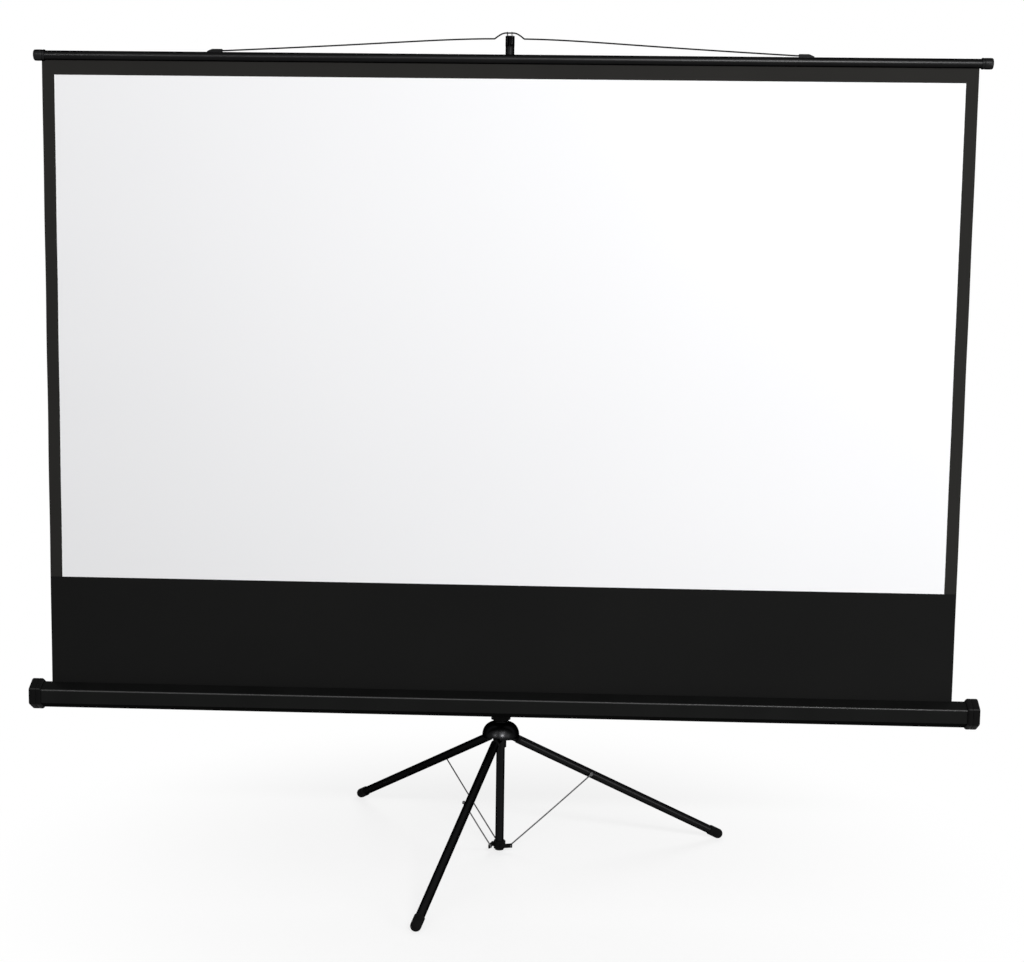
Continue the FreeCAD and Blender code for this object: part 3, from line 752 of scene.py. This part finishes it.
def seen_rays(tree):
    """One for rays of the eye, of reflections and of clear materials, nought for light on surfaces."""
    path = tree.nodes.new("ShaderNodeLightPath")
    two = tree.nodes.new("ShaderNodeMath")
    two.operation = "ADD"
    three = tree.nodes.new("ShaderNodeMath")
    three.operation = "ADD"
    three.use_clamp = True
    join(tree, (path.outputs["Is Camera Ray"], two.inputs[0]), (path.outputs["Is Glossy Ray"], two.inputs[1]))
    join(tree, (two.outputs[0], three.inputs[0]), (path.outputs["Is Transmission Ray"], three.inputs[1]))
    return three.outputs[0]


def blend_shaders(tree, factor, first, second, output):
    """Mix of two shaders, sent to a tree's output."""
    blend = tree.nodes.new("ShaderNodeMixShader")
    join(tree, (first.outputs[0], blend.inputs[1]), (second.outputs[0], blend.inputs[2]))
    join(tree, (factor, blend.inputs[0]), (blend.outputs[0], tree.nodes[output].inputs["Surface"]))


def lay_floor():
    """Pale floor that keeps the shadow near the object and runs out to the white of the background."""
    mesh = bpy.data.meshes.new("floor")
    corners = [(x * floor_half, y * floor_half, 0) for x, y in ((-1, -1), (1, -1), (1, 1), (-1, 1))]
    mesh.from_pydata(corners, [], [(0, 1, 2, 3)])
    floor = bpy.data.objects.new("floor", mesh)
    scene.collection.objects.link(floor)
    material, tree, shader = new_material("pale_floor", 0.9, 0.05)
    shader.inputs["Base Color"].default_value = (floor_tone, floor_tone, floor_tone, 1)
    place = tree.nodes.new("ShaderNodeTexCoord")
    reach = tree.nodes.new("ShaderNodeVectorMath")
    reach.operation = "LENGTH"
    far = tree.nodes.new("ShaderNodeMapRange")
    far.interpolation_type = "SMOOTHSTEP"
    far.inputs["From Min"].default_value = shadow_near
    far.inputs["From Max"].default_value = shadow_far
    far.inputs["To Min"].default_value = white_near_share
    white = tree.nodes.new("ShaderNodeEmission")
    glow = tree.nodes.new("ShaderNodeMapRange")
    glow.inputs["To Min"].default_value = floor_glow_share
    join(tree, (place.outputs["Object"], reach.inputs[0]), (reach.outputs["Value"], far.inputs["Value"]))
    join(tree, (seen_rays(tree), glow.inputs["Value"]), (glow.outputs["Result"], white.inputs["Strength"]))
    blend_shaders(tree, far.outputs["Result"], shader, white, "Material Output")
    mesh.materials.append(material)


def softbox(name, place, target, size, power, only=None):
    """Rectangular lamp at a place, facing a target, its light kept to one piece where that is given."""
    lamp = bpy.data.lights.new(name, "AREA")
    lamp.shape = "RECTANGLE"
    lamp.size, lamp.size_y = size
    lamp.energy = power
    box = bpy.data.objects.new(name, lamp)
    box.location = place
    box.rotation_euler = (Vector(target) - Vector(place)).to_track_quat("-Z", "Y").to_euler()
    box.visible_camera = False
    scene.collection.objects.link(box)
    if only:
        lit = bpy.data.collections.new(name + "_lights")
        lit.objects.link(only)
        box.light_linking.receiver_collection = lit


def light_studio():
    """White surroundings for the eye and for reflections, softer for the light they give.

    Softboxes stand in front and behind, and four small ones light only the rail or the dome."""
    world = bpy.data.worlds.new("studio")
    scene.world = world
    world.use_nodes = True
    tree = world.node_tree
    sky = tree.nodes["Background"]
    sky.inputs["Color"].default_value = (1, 1, 1, 1)
    sky.inputs["Strength"].default_value = sky_light
    seen = tree.nodes.new("ShaderNodeBackground")
    seen.inputs["Color"].default_value = (1, 1, 1, 1)
    blend_shaders(tree, seen_rays(tree), sky, seen, "World Output")
    rail = bpy.data.objects["rail_tube"]
    dome = frame["nodes"]["hub_dome"]
    dome_place = (0.0, 0.0, 0.31)
    softbox("strip", (0.2, -4.3, 3.5), (0.0, 0.0, 1.3), (5.2, 0.5), 72)
    softbox("right_box", (1.75, -4.2, 3.5), (0.4, 0.0, 1.4), (1.9, 0.6), 96)
    softbox("left_box", (-2.6, -4.2, 3.5), (-0.8, 0.0, 1.4), (0.9, 0.5), 16)
    softbox("key", (3.2, -3.0, 0.9), (0.1, 0.0, 0.8), (1.6, 1.6), 50)
    softbox("rail_right", (1.2, -4.2, 2.7), (0.7, 0.0, 2.0), (1.0, 0.6), 210, rail)
    softbox("rail_left", (-2.3, -4.2, 2.7), (-1.0, 0.0, 2.0), (0.5, 0.5), 55, rail)
    softbox("back_box", (0.9, 4.2, 3.2), (0.0, 0.0, 1.0), (3.6, 1.2), 110)
    softbox("glint", (0.92, -4.2, 1.41), dome_place, (0.3, 0.3), 420, dome)
    softbox("small_glint", (-2.8, -4.2, 1.41), dome_place, (0.3, 0.3), 130, dome)


def set_camera():
    """Camera at the photograph's viewpoint."""
    lens = bpy.data.cameras.new("camera")
    lens.sensor_fit = "HORIZONTAL"
    lens.sensor_width = camera_sensor
    lens.lens = camera_lens
    lens.clip_end = camera_reach
    lens.dof.use_dof = False
    camera = bpy.data.objects.new("camera", lens)
    camera.matrix_world = Matrix.Translation(camera_place) @ Matrix(camera_turn).to_4x4()
    scene.collection.objects.link(camera)
    scene.camera = camera
    scene.view_settings.view_transform = "Standard"


set_camera()
hang_sheet()
draw_case()
draw_rail()
for side_name, side in (("left", -1), ("right", 1)):
    mould_cap(side_name, side)
    mould_rail_cap(side_name, side)
bend_bail()
for number in (1, 2, 3):
    mould_foot(number)
    bend_brace(number)
fit_rivets()
dress_solids()
lay_floor()
light_studio()
